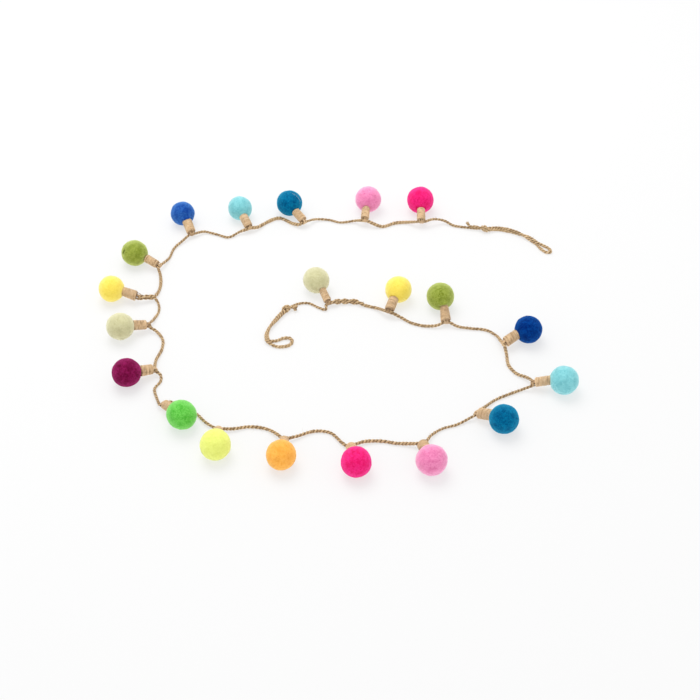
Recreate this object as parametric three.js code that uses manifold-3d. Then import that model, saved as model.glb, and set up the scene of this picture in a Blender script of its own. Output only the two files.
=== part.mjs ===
// Felted ball garland: wool balls with jute-wrapped necks, tied along one jute twine that lies in a
// loose spiral on the floor and ends in a knotted hanging loop at each end.
// Millimetres, +Z up. The origin is on the floor, under the middle of the balls and necks.

import * as THREE from 'three';
import { mergeVertices } from 'three/addons/utils/BufferGeometryUtils.js';
import Module from 'manifold-3d';

const wasm = await Module();
wasm.setup();

// Driving dimensions

const GAP = 0.3; // clearance between pieces that touch
const SEAT_GAP = 0.5; // at the neck's hollow end, a plain cone that clears the round ball
const FLAT_DEPTH = 0.4; // how far each ball is pressed flat where it lies

const NECK_RADIUS = 5;
const HITCH_RADIUS = 2.2; // the yarn's last turns, which draw in to hold the twine
const HITCH_LENGTH = 1;

const TWINE_DIAMETER = 3.3;
const TWINE_REST = 1.75; // height of the twine's centre line where it lies on the floor
const TIE_DROP = 1.2; // how far below the neck's middle the twine is tied
const TIE_HALF = 3; // half the stretch of twine that lies straight across a hitch
const TIE_DROOP = 0.5; // how far that stretch's ends fall back from the hitch
const DOUBLED_DIAMETER = 5.4; // two twisted legs of twine, taken round
const KNOT_RADIUS = 4;
const KNOT_LENGTH = 9.4;

const BALL_MERIDIANS = 14;
const BALL_BANDS = 8;
const NECK_SIDES = 10;
const TWINE_SIDES = 8;

// The bulbs, in order along the twine from end A to end B.
// x, y: where the ball lies; heading: which way its neck points, in degrees from +X; dip: how many
// degrees the neck points down; size: the ball's width; long: its length along the neck against that;
// neck: from the ball's surface to the neck's outer end.
const BULBS = [
  { colour: 'hot_pink', x: 107, y: 205, heading: -90, dip: 10, size: 32, long: 1, neck: 14.4 },
  { colour: 'orchid', x: 44, y: 207, heading: -98, dip: 10, size: 31, long: 1, neck: 14.6 },
  { colour: 'teal', x: -51, y: 200, heading: -55, dip: 11, size: 30.5, long: 1.02, neck: 15 },
  { colour: 'turquoise', x: -110, y: 191, heading: -66, dip: 12, size: 28.5, long: 1, neck: 14.4 },
  { colour: 'royal', x: -178, y: 181, heading: -66, dip: 13, size: 28.5, long: 0.98, neck: 15.2 },
  { colour: 'olive', x: -226, y: 107, heading: -25, dip: 12, size: 29.5, long: 1.03, neck: 14.8 },
  { colour: 'yellow', x: -244, y: 45, heading: -11, dip: 10, size: 29.5, long: 0.95, neck: 15 },
  { colour: 'sage', x: -226, y: -16, heading: 18, dip: 12, size: 29.5, long: 1.02, neck: 13.5 },
  { colour: 'plum', x: -210, y: -86, heading: 24, dip: 13, size: 30, long: 1.02, neck: 12.9 },
  { colour: 'green', x: -147, y: -145, heading: 134, dip: 13, size: 29.5, long: 1.08, neck: 13.8 },
  { colour: 'neon', x: -110, y: -185, heading: 88, dip: 18, size: 30.5, long: 1.04, neck: 13.6 },
  { colour: 'orange', x: -45, y: -198, heading: 86, dip: 16, size: 29.5, long: 1.03, neck: 13.8 },
  { colour: 'hot_pink', x: 28, y: -207, heading: 101, dip: 18, size: 30, long: 1.02, neck: 15 },
  { colour: 'orchid', x: 101, y: -205, heading: 104, dip: 15, size: 31, long: 0.97, neck: 14 },
  { colour: 'teal', x: 176, y: -151, heading: 149, dip: 15, size: 30, long: 1, neck: 13.6 },
  { colour: 'turquoise', x: 243, y: -97, heading: 175, dip: 11, size: 30, long: 1, neck: 14.2 },
  { colour: 'cobalt', x: 214, y: -21, heading: -153, dip: 10, size: 30, long: 0.98, neck: 14.2 },
  { colour: 'olive', x: 122, y: 32, heading: -81, dip: 14, size: 30.5, long: 1, neck: 15.2 },
  { colour: 'yellow', x: 76, y: 44, heading: -110, dip: 9, size: 29.5, long: 1.02, neck: 14.2 },
  { colour: 'sage', x: -16, y: 60, heading: -64, dip: 13, size: 29, long: 1.06, neck: 15 },
];

// The twine's way between its ties: x, y and the centre line's height, where it isn't lying flat.
const WAY_FROM_KNOT_A = [
  [183, 164, 3.7], [171, 168], [158, 170], [146, 173], [135, 179, 4.4], [122, 177, 8.4],
];
const WAYS = [
  [[93, 178, 3], [77, 178], [61, 171]],
  [[28, 180, 3.5], [10, 179], [-4, 184], [-20, 183, 3.4]],
  [[-39, 171.5, 4.5], [-49, 178, 1.8], [-63, 187], [-78, 179], [-89, 167, 4]],
  [[-109, 159, 3.6], [-122, 151], [-138, 157], [-152, 160, 3]],
  [[-175, 143, 3.4], [-184, 131], [-188, 113, 2]],
  [[-195, 82, 3], [-193, 68], [-194, 53, 2.4]],
  [[-192, 34, 3], [-190, 22], [-194, 7, 3]],
  [[-190, -11, 3.6], [-181, -23], [-180, -38], [-184, -57, 3.8]],
  [[-177, -78, 3], [-176, -86], [-181, -97], [-177, -112, 4]],
  [[-162, -118, 4], [-149, -122, 1.8], [-135, -132], [-123, -146, 3]],
  [[-96, -154, 3.2], [-80, -150], [-62, -153], [-52, -161, 4]],
  [[-31, -164, 3.4], [-14, -156], [2, -158], [14, -172, 2.6]],
  [[36, -171, 3.2], [52, -169], [68, -172], [83, -174, 3.5]],
  [[103, -163, 3.5], [114, -153], [130, -147], [143, -140, 3.6]],
  [[160, -124.5, 4], [170, -114], [186, -105], [203, -98, 3]],
  [[207, -83, 4], [197, -75], [190, -63], [189, -47, 3]],
  [[181, -20, 3.6], [171, -9], [154, -6], [139, -4, 3.2]],
  [[117, -3, 3.6], [103, -2], [89, 3], [77, 11, 3.2]],
  [[54, 24, 3.5], [42, 30], [27, 36], [11, 36, 3.2]],
];
const WAY_TO_KNOT_B = [[-5, 24, 2.4], [-12, 27], [-25, 35], [-38, 33], [-49, 23, 3.7]];

// Bulb 7 hangs on a twisted stalk of twine, a little way off the line.
const STALK_BULB = 7;
const STALK_FOOT = [-198, 42, 4.6];
const STALK_LEAD = 4; // how far it leaves the hitch straight

// Each end: the doubled run from its knot, the eye that it opens into and the cut tail.
const END_A = {
  run: [[183, 164, 3.7], [199, 165.5, 2.9], [215, 160.5, 2.9], [231, 150.5, 2.9], [242, 138, 2.9]],
  eye: [[241, 139, 2], [249, 135.5], [255, 129.5], [256, 124], [251, 123.5], [246, 129], [241, 139, 2.4]],
  tail: [[183, 164, 3.7], [173, 167.5, 4.4], [165, 168.5, 4.6], [162, 172, 7]],
};
const END_B = {
  run: [[-49, 23, 3.7], [-58.5, 8.5, 2.9], [-66, -6, 2.9], [-68.5, -18, 2.9], [-66, -28, 2.9]],
  eye: [
    [-67, -27, 2], [-58, -25.5], [-50, -21.5], [-43.5, -21.5], [-40.5, -26.5], [-44, -32.5],
    [-51, -34.5], [-58, -34], [-67, -28, 2.4],
  ],
  tail: [[-49, 23, 3.7], [-43, 26, 4.2], [-38, 24.5, 4]],
};

// Materials

const WOOL_COLOURS = {
  hot_pink: 0xfb2a86,
  orchid: 0xee85c0,
  teal: 0x0e72ae,
  turquoise: 0x84d3dc,
  royal: 0x2a56c4,
  cobalt: 0x0a3c96,
  olive: 0x8dae45,
  yellow: 0xf8df4c,
  sage: 0xcbd09a,
  plum: 0x8a1358,
  green: 0x55c844,
  neon: 0xe6f56a,
  orange: 0xfdae48,
};
const YARN_COLOUR = 0xcfa67a;
const TWINE_COLOUR = 0xa98353;

function fibre(colour) {
  return new THREE.MeshStandardMaterial({ color: colour, roughness: 0.95, metalness: 0 });
}

// Places

function placeBulb({ x, y, heading, dip, size, long, neck }) {
  const turn = THREE.MathUtils.degToRad(heading);
  const slope = THREE.MathUtils.degToRad(dip);
  const centre = new THREE.Vector3(x, y, size / 2 - FLAT_DEPTH);
  const axis = new THREE.Vector3(
    Math.cos(turn) * Math.cos(slope),
    Math.sin(turn) * Math.cos(slope),
    -Math.sin(slope),
  );
  const across = new THREE.Vector3(-Math.sin(turn), Math.cos(turn), 0);
  const under = new THREE.Vector3().crossVectors(across, axis);
  const reach = (size / 2) * long;
  const neckEnd = reach + neck;
  const tie = centre.clone()
    .addScaledVector(axis, neckEnd + HITCH_LENGTH + GAP + TWINE_DIAMETER / 2)
    .addScaledVector(under, TIE_DROP);
  return { centre, axis, across, turn, reach, neckEnd, tie };
}

function wayPoint([x, y, z = TWINE_REST]) {
  return new THREE.Vector3(x, y, z);
}

// The twine goes square across the neck's hitch, on its way from one point to another.
function tieStretch(bulb, from, to) {
  const { tie, axis, across } = placeBulb(bulb);
  const forward = Math.sign(to.clone().sub(from).dot(across));
  const shoulder = (side) => tie.clone()
    .addScaledVector(across, side * forward * TIE_HALF)
    .addScaledVector(axis, TIE_DROOP);
  return [shoulder(-1), tie, shoulder(1)];
}

function mainRoute() {
  const points = WAY_FROM_KNOT_A.map(wayPoint);
  BULBS.forEach((bulb, index) => {
    const onward = (WAYS[index] ?? WAY_TO_KNOT_B).map(wayPoint);
    if (index + 1 === STALK_BULB) {
      points.push(wayPoint(STALK_FOOT));
    } else {
      points.push(...tieStretch(bulb, points.at(-1), onward[0]));
    }
    points.push(...onward);
  });
  return points;
}

// Shapes

// A curve that is stepped from one of its points to the next, so that each tie is met exactly.
class Route extends THREE.CatmullRomCurve3 {
  getUtoTmapping(u) {
    return u;
  }
}

function tube(points, diameter, stepsBetween) {
  const section = new THREE.Shape();
  for (let side = 0; side < TWINE_SIDES; side += 1) {
    const angle = (side / TWINE_SIDES) * 2 * Math.PI;
    const corner = [(diameter / 2) * Math.cos(angle), (diameter / 2) * Math.sin(angle)];
    if (side === 0) {
      section.moveTo(...corner);
    } else {
      section.lineTo(...corner);
    }
  }
  section.closePath();
  return new THREE.ExtrudeGeometry(section, {
    steps: (points.length - 1) * stepsBetween,
    extrudePath: new Route(points),
    bevelEnabled: false,
  });
}

function knotLump([[x, y, z], [nextX, nextY]]) {
  const profile = [];
  const bands = 6;
  for (let band = 0; band <= bands; band += 1) {
    const angle = (band / bands - 0.5) * Math.PI;
    const radius = band % bands === 0 ? 0 : KNOT_RADIUS * Math.cos(angle);
    profile.push(new THREE.Vector2(radius, (KNOT_LENGTH / 2) * Math.sin(angle)));
  }
  const lump = new THREE.LatheGeometry(profile, TWINE_SIDES);
  const alongRun = Math.atan2(nextY - y, nextX - x);
  return lump.rotateZ(-Math.PI / 2).rotateZ(alongRun).translate(x, y, z + GAP);
}

function ballShape(bulb) {
  const { centre, turn } = placeBulb(bulb);
  const radius = bulb.size / 2;
  const floorAngle = Math.asin((radius - FLAT_DEPTH) / radius);
  const profile = [new THREE.Vector2(0, FLAT_DEPTH - radius)];
  for (let band = 0; band <= BALL_BANDS; band += 1) {
    const angle = -floorAngle + (band / BALL_BANDS) * (floorAngle + Math.PI / 2);
    const around = band === BALL_BANDS ? 0 : radius * Math.cos(angle);
    profile.push(new THREE.Vector2(around, radius * Math.sin(angle)));
  }
  const ball = new THREE.LatheGeometry(profile, BALL_MERIDIANS).rotateX(Math.PI / 2);
  return ball.scale(bulb.long, 1, 1).rotateZ(turn).translate(...centre);
}

// The neck's inner end is hollowed to sit round the ball, and its outer end draws in to the hitch.
function neckShape(bulb) {
  const { centre, axis, reach, neckEnd } = placeBulb(bulb);
  const seat = reach + SEAT_GAP;
  const profile = [
    new THREE.Vector2(0, seat),
    new THREE.Vector2(NECK_RADIUS, Math.sqrt(seat ** 2 - NECK_RADIUS ** 2)),
    new THREE.Vector2(NECK_RADIUS, neckEnd),
    new THREE.Vector2(HITCH_RADIUS, neckEnd),
    new THREE.Vector2(HITCH_RADIUS, neckEnd + HITCH_LENGTH),
    new THREE.Vector2(0, neckEnd + HITCH_LENGTH),
  ];
  const neck = new THREE.LatheGeometry(profile, NECK_SIDES);
  const upright = new THREE.Vector3(0, 1, 0);
  const turnToAxis = new THREE.Quaternion().setFromUnitVectors(upright, axis);
  return neck.applyQuaternion(turnToAxis).translate(...centre);
}

// Joining

function toSolid(geometry) {
  const bare = geometry.clone();
  bare.deleteAttribute('normal');
  bare.deleteAttribute('uv');
  const merged = mergeVertices(bare, 1e-4);
  return new wasm.Manifold(new wasm.Mesh({
    numProp: 3,
    vertProperties: new Float32Array(merged.attributes.position.array),
    triVerts: new Uint32Array(merged.index.array),
  }));
}

function toGeometry(solid) {
  const { vertProperties, triVerts } = solid.getMesh();
  const geometry = new THREE.BufferGeometry();
  geometry.setAttribute('position', new THREE.BufferAttribute(vertProperties, 3));
  geometry.setIndex(new THREE.BufferAttribute(triVerts, 1));
  geometry.computeVertexNormals();
  return geometry;
}

function twineEnd({ run, eye, tail }) {
  return [
    tube(run.map(wayPoint), DOUBLED_DIAMETER, 1),
    tube(eye.map(wayPoint), TWINE_DIAMETER, 2),
    tube(tail.map(wayPoint), TWINE_DIAMETER, 1),
    knotLump(run),
  ];
}

function stalkShape() {
  const { tie, axis } = placeBulb(BULBS[STALK_BULB - 1]);
  const top = tie.clone().addScaledVector(axis, -TWINE_DIAMETER / 2);
  const lead = top.clone().addScaledVector(axis, STALK_LEAD);
  return tube([wayPoint(STALK_FOOT), lead, top], DOUBLED_DIAMETER, 2);
}

function twineShape() {
  const stretches = [
    tube(mainRoute(), TWINE_DIAMETER, 1),
    stalkShape(),
    ...twineEnd(END_A),
    ...twineEnd(END_B),
  ];
  return toGeometry(stretches.map(toSolid).reduce((whole, stretch) => whole.add(stretch)));
}

// The garland

function piece(name, geometry, colour) {
  const mesh = new THREE.Mesh(geometry, fibre(colour));
  mesh.name = name;
  return mesh;
}

const garland = new THREE.Group();
BULBS.forEach((bulb, index) => {
  const number = String(index + 1).padStart(2, '0');
  garland.add(piece(`ball_${number}_${bulb.colour}`, ballShape(bulb), WOOL_COLOURS[bulb.colour]));
  garland.add(piece(`neck_${number}`, neckShape(bulb), YARN_COLOUR));
});
garland.add(piece('twine', twineShape(), TWINE_COLOUR));

export default garland;
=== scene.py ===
"""Felted ball garland: wool balls with jute-wound necks, tied like light bulbs along a twine.

The twine lies in a loose spiral on a pale floor and ends in a knotted hanging loop at each end.
Each piece is made in metres, in the frame of the part that is loaded below.
"""

import bmesh
import bpy
import numpy as np
from bpy.props import FloatProperty, FloatVectorProperty, IntProperty, PointerProperty
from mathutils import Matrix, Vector, noise


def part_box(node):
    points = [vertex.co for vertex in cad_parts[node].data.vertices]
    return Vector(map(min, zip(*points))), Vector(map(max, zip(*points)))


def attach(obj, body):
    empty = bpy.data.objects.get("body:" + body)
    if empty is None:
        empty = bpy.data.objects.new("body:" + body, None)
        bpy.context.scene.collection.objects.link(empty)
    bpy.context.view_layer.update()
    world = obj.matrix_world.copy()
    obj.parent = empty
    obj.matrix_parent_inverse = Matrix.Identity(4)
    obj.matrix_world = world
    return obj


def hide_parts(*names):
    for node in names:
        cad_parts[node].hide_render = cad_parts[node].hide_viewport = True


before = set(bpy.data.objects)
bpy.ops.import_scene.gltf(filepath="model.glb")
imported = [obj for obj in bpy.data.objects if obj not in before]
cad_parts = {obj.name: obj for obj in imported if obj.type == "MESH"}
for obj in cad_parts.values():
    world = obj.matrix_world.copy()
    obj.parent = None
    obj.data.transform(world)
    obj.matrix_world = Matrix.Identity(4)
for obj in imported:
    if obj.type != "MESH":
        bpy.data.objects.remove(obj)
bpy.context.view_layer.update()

bl_info = {
    "name": "Felted Ball Garland",
    "version": (1, 0, 0),
    "blender": (4, 5, 0),
    "location": "3D View > Sidebar > Garland",
    "description": "Makes a garland of felted wool balls on a jute twine, and its pale stage",
    "category": "Add Mesh",
}

UP = np.array((0.0, 0.0, 1.0))
CLEARANCE = 0.00005  # everything stays this far above the floor
TWINE_SEED, NECK_SEED, BALL_SEED = 41, 100, 200  # a bulb's number is added to the last two

# The solids' sizes that the visible pieces share, in metres

FLAT_DEPTH = 0.0004  # how far each ball is pressed flat where it lies
NECK_RADIUS = 0.005
HITCH_LENGTH = 0.001
NECK_LENGTHS = (  # of bulbs 1 to 20, from the ball's surface to the neck's outer end
    0.0144, 0.0146, 0.0150, 0.0144, 0.0152, 0.0148, 0.0150, 0.0135, 0.0129, 0.0138,
    0.0136, 0.0138, 0.0150, 0.0140, 0.0136, 0.0142, 0.0142, 0.0152, 0.0142, 0.0150,
)
GAP = 0.0003
TWINE_DIAMETER = 0.0033
TWINE_REST = 0.00175  # height of the twine's centre line where it lies on the floor
TIE_DROP = 0.0012  # how far below the neck's middle the twine is tied
TIE_HALF = 0.003  # half the stretch of twine that lies straight across a hitch
TIE_DROOP = 0.0005  # how far that stretch's ends fall back from the hitch

# The twine's way, in metres: x, y and the centre line's height, where it isn't lying flat.

WAY_FROM_KNOT_A = [
    (0.171, 0.168), (0.158, 0.170), (0.146, 0.173), (0.135, 0.179, 0.0044),
    (0.122, 0.177, 0.0084),
]
WAYS = [
    [(0.093, 0.178, 0.003), (0.077, 0.178), (0.061, 0.171)],
    [(0.028, 0.180, 0.0035), (0.010, 0.179), (-0.004, 0.184), (-0.020, 0.183, 0.0034)],
    [
        (-0.039, 0.1715, 0.0045), (-0.049, 0.178, 0.0018), (-0.063, 0.187), (-0.078, 0.179),
        (-0.089, 0.167, 0.004),
    ],
    [(-0.109, 0.159, 0.0036), (-0.122, 0.151), (-0.138, 0.157), (-0.152, 0.160, 0.003)],
    [(-0.175, 0.143, 0.0034), (-0.184, 0.131), (-0.188, 0.113, 0.002)],
    [(-0.195, 0.082, 0.003), (-0.193, 0.068), (-0.194, 0.053, 0.0024)],
    [(-0.192, 0.034, 0.003), (-0.190, 0.022), (-0.194, 0.007, 0.003)],
    [(-0.190, -0.011, 0.0036), (-0.181, -0.023), (-0.180, -0.038), (-0.184, -0.057, 0.0038)],
    [(-0.177, -0.078, 0.003), (-0.176, -0.086), (-0.181, -0.097), (-0.177, -0.112, 0.004)],
    [(-0.162, -0.118, 0.004), (-0.149, -0.122, 0.0018), (-0.135, -0.132), (-0.123, -0.146, 0.003)],
    [(-0.096, -0.154, 0.0032), (-0.080, -0.150), (-0.062, -0.153), (-0.052, -0.161, 0.004)],
    [(-0.031, -0.164, 0.0034), (-0.014, -0.156), (0.002, -0.158), (0.014, -0.172, 0.0026)],
    [(0.036, -0.171, 0.0032), (0.052, -0.169), (0.068, -0.172), (0.083, -0.174, 0.0035)],
    [(0.103, -0.163, 0.0035), (0.114, -0.153), (0.130, -0.147), (0.143, -0.140, 0.0036)],
    [(0.160, -0.1245, 0.004), (0.170, -0.114), (0.186, -0.105), (0.203, -0.098, 0.003)],
    [(0.207, -0.083, 0.004), (0.197, -0.075), (0.190, -0.063), (0.189, -0.047, 0.003)],
    [(0.181, -0.020, 0.0036), (0.171, -0.009), (0.154, -0.006), (0.139, -0.004, 0.0032)],
    [(0.117, -0.003, 0.0036), (0.103, -0.002), (0.089, 0.003), (0.077, 0.011, 0.0032)],
    [(0.054, 0.024, 0.0035), (0.042, 0.030)],
]
WAY_TO_KNOT_B = [(-0.005, 0.024, 0.0024), (-0.012, 0.027), (-0.025, 0.035), (-0.038, 0.033)]

# Bulb 7 hangs on a stalk, where the twine has twisted back on itself.
STALK_BULB = 7
STALK_FOOT = (-0.198, 0.042, 0.0046)
STALK_TWIST = [(0.0, 0.0), (1.0, 1.5)]
STALK_TOP = 0.6  # how far past the tie the stalk's way ends, in the twine's thicknesses
STALK_TURN = 0.1  # how far short of the tie the twine turns back, in the same

# Next to bulb 20 a second length of twine is twisted in with the first.
SPLICE_BULB = 20
SPLICE_WAY = [(0.036, 0.033, 0.0026), (0.027, 0.036, 0.003), (0.011, 0.036, 0.0036)]
SPLICE_TWIST = [(0.0, 0.0), (0.4, 0.5), (1.0, 1.75)]
SPLICE_SPREAD = 0.0015  # from the pair's middle to each strand's
SPLICE_THICKNESS = 1.1  # against the twine's
SPLICE_LEAD = 1.6  # how far beside the tie the pair ends, against TIE_HALF

# Each end: the doubled run from its knot, the eye that it opens into and the cut tail. The run's
# two strands wind round each other: twist says how many turns they have made at each share of it.
# fullness is for the tail, the run and the eye; knot is the knot's size and tip how far the tail's
# cut end has swollen.
END_A = {
    "run": [
        (0.183, 0.164, 0.0037), (0.199, 0.1655, 0.0029), (0.215, 0.1605, 0.0029),
        (0.231, 0.1505, 0.0029), (0.241, 0.139, 0.0029),
    ],
    "eye": [(0.249, 0.1355), (0.255, 0.1295), (0.256, 0.124), (0.251, 0.1235), (0.246, 0.129)],
    "tail": [(0.173, 0.1675, 0.0044), (0.165, 0.1685, 0.0046), (0.162, 0.172, 0.007)],
    "twist": [(0.0, 0.0), (0.6, 0.25), (1.0, 0.75)],
    "fullness": (0.95, 1.04, 1.2),
    "knot": 1.18,
    "tip": 1.6,
}
END_B = {
    "run": [
        (-0.049, 0.023, 0.0037), (-0.0585, 0.0085, 0.0029), (-0.066, -0.006, 0.0029),
        (-0.0685, -0.018, 0.0029), (-0.067, -0.0265, 0.0029),
    ],
    "eye": [
        (-0.058, -0.0255), (-0.050, -0.0215), (-0.0435, -0.0215), (-0.0405, -0.0265),
        (-0.044, -0.0325), (-0.051, -0.0345), (-0.058, -0.034),
    ],
    "tail": [(-0.043, 0.026, 0.0042), (-0.038, 0.0245, 0.004)],
    "twist": [(0.0, 0.0), (0.35, 0.03), (0.68, 0.25), (1.0, 0.47)],
    "fullness": (1.1, 1.04, 1.2),
    "knot": 1.05,
    "tip": 1.85,
}

# How full the twine is against its usual thickness, up to bulb 1 and then after each bulb
FULLNESS = (
    1.0, 1.27, 0.93, 1.32, 0.98, 1.0, 1.19, 0.98, 1.1, 1.01,
    1.05, 1.1, 1.06, 1.14, 0.91, 1.0, 1.16, 1.03, 1.09, 1.17, 0.94,
)
FULLNESS_BLUR = 21  # points of the line over which the fullness is averaged
TIP_REACH = 0.0018  # how far from a cut end the twine is swollen
END_LOOP_REACH = 0.17  # how much twine each end loop takes up
END_LOOP_FADE = 0.01  # over which the loops' paler look fades
TWINE_STEP = 0.0006  # between the points of a twine's line

# Turns of twine round the start of each doubled run, and the size that they make
KNOT_TURNS = 2.3
KNOT_RADIUS = 0.0027
KNOT_LENGTH = 0.0062
KNOT_SLANT = 0.0017
KNOT_THICKNESS = 0.96  # the twine's in the knots, against its usual one

# Marks that single balls carry: a fold's middle and way, with its half length, width and height
# (a crease's is below zero), and where a bundle of pale fibres starts and ends. All are directions
# from the ball's middle.
FOLDS = {
    "05": [((0.40, -0.90, 0.173), (0.914, 0.407, 0.0), 0.0052, 0.0024, 0.0018)],
    "06": [((-0.73, -0.47, 0.50), (0.45, 0.19, 0.87), 0.0034, 0.0012, -0.0006)],
    "18": [((0.155, -0.974, 0.155), (0.988, 0.156, 0.0), 0.0052, 0.0024, 0.0018)],
}
STREAKS = {"03": [((0.12, 0.06, 0.99), (0.86, -0.28, 0.43))]}
STREAK_FIBRES = 14
CREASE_PAINTED_SHADE = 1.3  # painted shade: how much darker a crease's bottom is painted, in the shade attribute


# Settings that a user would change


def colour_setting(name, description, default):
    return FloatVectorProperty(
        name=name, description=description, default=default, subtype="COLOR", size=3, min=0, max=1
    )


def length_setting(name, description, default):
    return FloatProperty(
        name=name, description=description, default=default, min=0, unit="LENGTH", precision=5
    )


class GarlandWool(bpy.types.PropertyGroup):
    """The felt balls' wool"""

    hot_pink: colour_setting("Hot pink", "Wool of bulbs 1 and 13", (0.9, 0.013, 0.19))
    orchid: colour_setting("Orchid", "Wool of bulbs 2 and 14", (0.85, 0.245, 0.47))
    teal: colour_setting("Teal", "Wool of bulbs 3 and 15", (0.0, 0.132, 0.295))
    turquoise: colour_setting("Turquoise", "Wool of bulbs 4 and 16", (0.226, 0.61, 0.65))
    royal: colour_setting("Royal blue", "Wool of bulb 5", (0.016, 0.1, 0.425))
    cobalt: colour_setting("Cobalt", "Wool of bulb 17", (0.0, 0.034, 0.232))
    olive: colour_setting("Olive", "Wool of bulbs 6 and 18", (0.295, 0.365, 0.05))
    yellow: colour_setting("Yellow", "Wool of bulbs 7 and 19", (0.94, 0.75, 0.115))
    sage: colour_setting("Sage", "Wool of bulbs 8 and 20", (0.61, 0.585, 0.34))
    plum: colour_setting("Plum", "Wool of bulb 9", (0.215, 0.004, 0.06))
    green: colour_setting("Green", "Wool of bulb 10", (0.133, 0.59, 0.072))
    neon: colour_setting("Neon yellow", "Wool of bulb 11", (0.8, 0.86, 0.2))
    orange: colour_setting("Orange", "Wool of bulb 12", (0.98, 0.463, 0.077))
    lumps: FloatProperty(
        name="Lumps", description="How uneven a ball is, as a share of its radius",
        default=0.022, min=0, max=0.1, subtype="FACTOR",
    )
    relief: length_setting("Relief", "Height of the felt's fine relief", 0.00007)
    fibres: IntProperty(
        name="Fibres", description="Loose wool fibres on each ball", default=385, min=0, max=2000
    )
    fibre_width: length_setting("Fibre width", "Thickness of a loose wool fibre", 0.00009)


class GarlandJute(bpy.types.PropertyGroup):
    """The twine that the bulbs hang on and the yarn that their necks are wound with"""

    length: length_setting("Twine length", "Length of the whole twine, outside its knots", 1.94)
    thickness: length_setting("Twine thickness", "Usual thickness of the twine", 0.0033)
    twist: length_setting("Twist", "Length of one full turn of the twine's two plies", 0.0074)
    pale: colour_setting("Pale fibres", "The lightest fibres in the twine", (0.67, 0.50, 0.30))
    tan: colour_setting("Tan fibres", "The twine's main colour", (0.483, 0.331, 0.172))
    # The brown also paints the shade between the plies and on the yarn's hidden side
    brown: colour_setting("Brown fibres", "The darkest, between the plies", (0.155, 0.08, 0.032))
    yarn_width: length_setting("Yarn width", "Thickness of the yarn round the necks", 0.00145)
    yarn_pitch: length_setting("Yarn pitch", "From one turn of the yarn to the next", 0.00132)
    yarn_pale: colour_setting("Pale yarn", "The lightest fibres in the yarn", (0.77, 0.60, 0.41))
    yarn_tan: colour_setting("Tan yarn", "The yarn's main colour", (0.61, 0.415, 0.225))
    yarn_brown: colour_setting("Brown yarn", "The darkest fibres in the yarn", (0.26, 0.15, 0.075))
    strays: IntProperty(
        name="Stray fibres", description="Stray jute fibres along the twine",
        default=760, min=0, max=3000,
    )


class GarlandStage(bpy.types.PropertyGroup):
    """The floor, the lights and the camera"""

    floor: colour_setting("Floor", "How much of the light the floor returns", (0.26, 0.26, 0.26))
    table_light: FloatProperty(
        name="Table light", description="How strongly the floor lights what lies on it",
        default=0.96, min=0,
    )
    surround: FloatProperty(
        name="Surround", description="Strength of the white light from all round",
        default=0.95, min=0,
    )
    softbox: FloatProperty(
        name="Softbox", description="Power of the large light overhead, in watts",
        default=26.0, min=0,
    )
    elevation: FloatProperty(
        name="Elevation", description="How steeply the camera looks down",
        default=0.77667, subtype="ANGLE",
    )
    distance: length_setting("Distance", "From the camera to the point it looks at", 1.2848)
    lens: FloatProperty(name="Lens", description="Focal length in millimetres", default=62.5, min=1)


# Places, read from the solids


def unit(vectors):
    return vectors / np.maximum(np.linalg.norm(vectors, axis=-1, keepdims=True), 1e-12)


class Bulb:
    """Where one ball and its neck are, and the names that they go by."""

    def __init__(self, ball_node):
        _, self.number, self.colour = ball_node.split("_", 2)
        self.ball_node = ball_node
        self.neck_node = f"neck_{self.number}"
        low, high = (np.array(corner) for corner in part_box(ball_node))
        self.radius = (high[2] + FLAT_DEPTH) / 2
        self.centre = (low + high) / 2
        self.centre[2] = high[2] - self.radius
        corners = np.array([v.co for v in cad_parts[self.neck_node].data.vertices])
        corners = np.unique(np.round(corners, 6), axis=0) - self.centre
        self.axis = unit(corners.mean(axis=0))
        self.heading = unit(self.axis * (1, 1, 0))
        self.across = np.cross(UP, self.heading)
        self.under = np.cross(self.across, self.axis)
        self.neck_end = (corners @ self.axis).max() - HITCH_LENGTH
        self.seed = int(self.number)
        self.reach = self.neck_end - NECK_LENGTHS[self.seed - 1]
        from_end = HITCH_LENGTH + GAP + TWINE_DIAMETER / 2
        self.tie = self.centre + self.axis * (self.neck_end + from_end) + self.under * TIE_DROP


BULBS = [Bulb(node) for node in sorted(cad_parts) if node.startswith("ball_")]


def place(point):
    """A way point as a full one: where it has no height, the twine lies on the floor."""
    return np.array((*point, TWINE_REST)[:3])


# The twine's line

CURVE_STEPS = 24  # points from one known point to the next, before they are spaced evenly


def curve_through(points, step):
    """A smooth centripetal line through the points, at even steps."""
    known = np.array(points)
    known = np.vstack([2 * known[0] - known[1], known, 2 * known[-1] - known[-2]])
    before, start, end, after = known[:-3], known[1:-2], known[2:-1], known[3:]
    near, mid, far = (
        np.linalg.norm(b - a, axis=1)[:, None] ** 0.5
        for a, b in ((before, start), (start, end), (end, after))
    )
    leaving = (start - before) / near - (end - before) / (near + mid) + (end - start) / mid
    arriving = (end - start) / mid - (after - start) / (mid + far) + (after - end) / far
    leaving, arriving = leaving * mid, arriving * mid
    t = (np.arange(CURVE_STEPS) / CURVE_STEPS)[:, None, None]
    line = (
        (2 * t**3 - 3 * t**2 + 1) * start
        + (t**3 - 2 * t**2 + t) * leaving
        + (3 * t**2 - 2 * t**3) * end
        + (t**3 - t**2) * arriving
    )
    line = np.vstack([line.transpose(1, 0, 2).reshape(-1, 3), known[-2]])
    return evenly(line, step)


def evened(values, width):
    """The values, each averaged with its neighbours; width is odd."""
    half = width // 2
    padded = np.concatenate([values[:1].repeat(half, 0), values, values[-1:].repeat(half, 0)])
    sums = np.cumsum(np.concatenate([padded[:1] * 0, padded]), axis=0)
    return (sums[width:] - sums[:-width]) / width


def lengths_along(line):
    return np.concatenate([[0.0], np.cumsum(np.linalg.norm(np.diff(line, axis=0), axis=1))])


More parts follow.
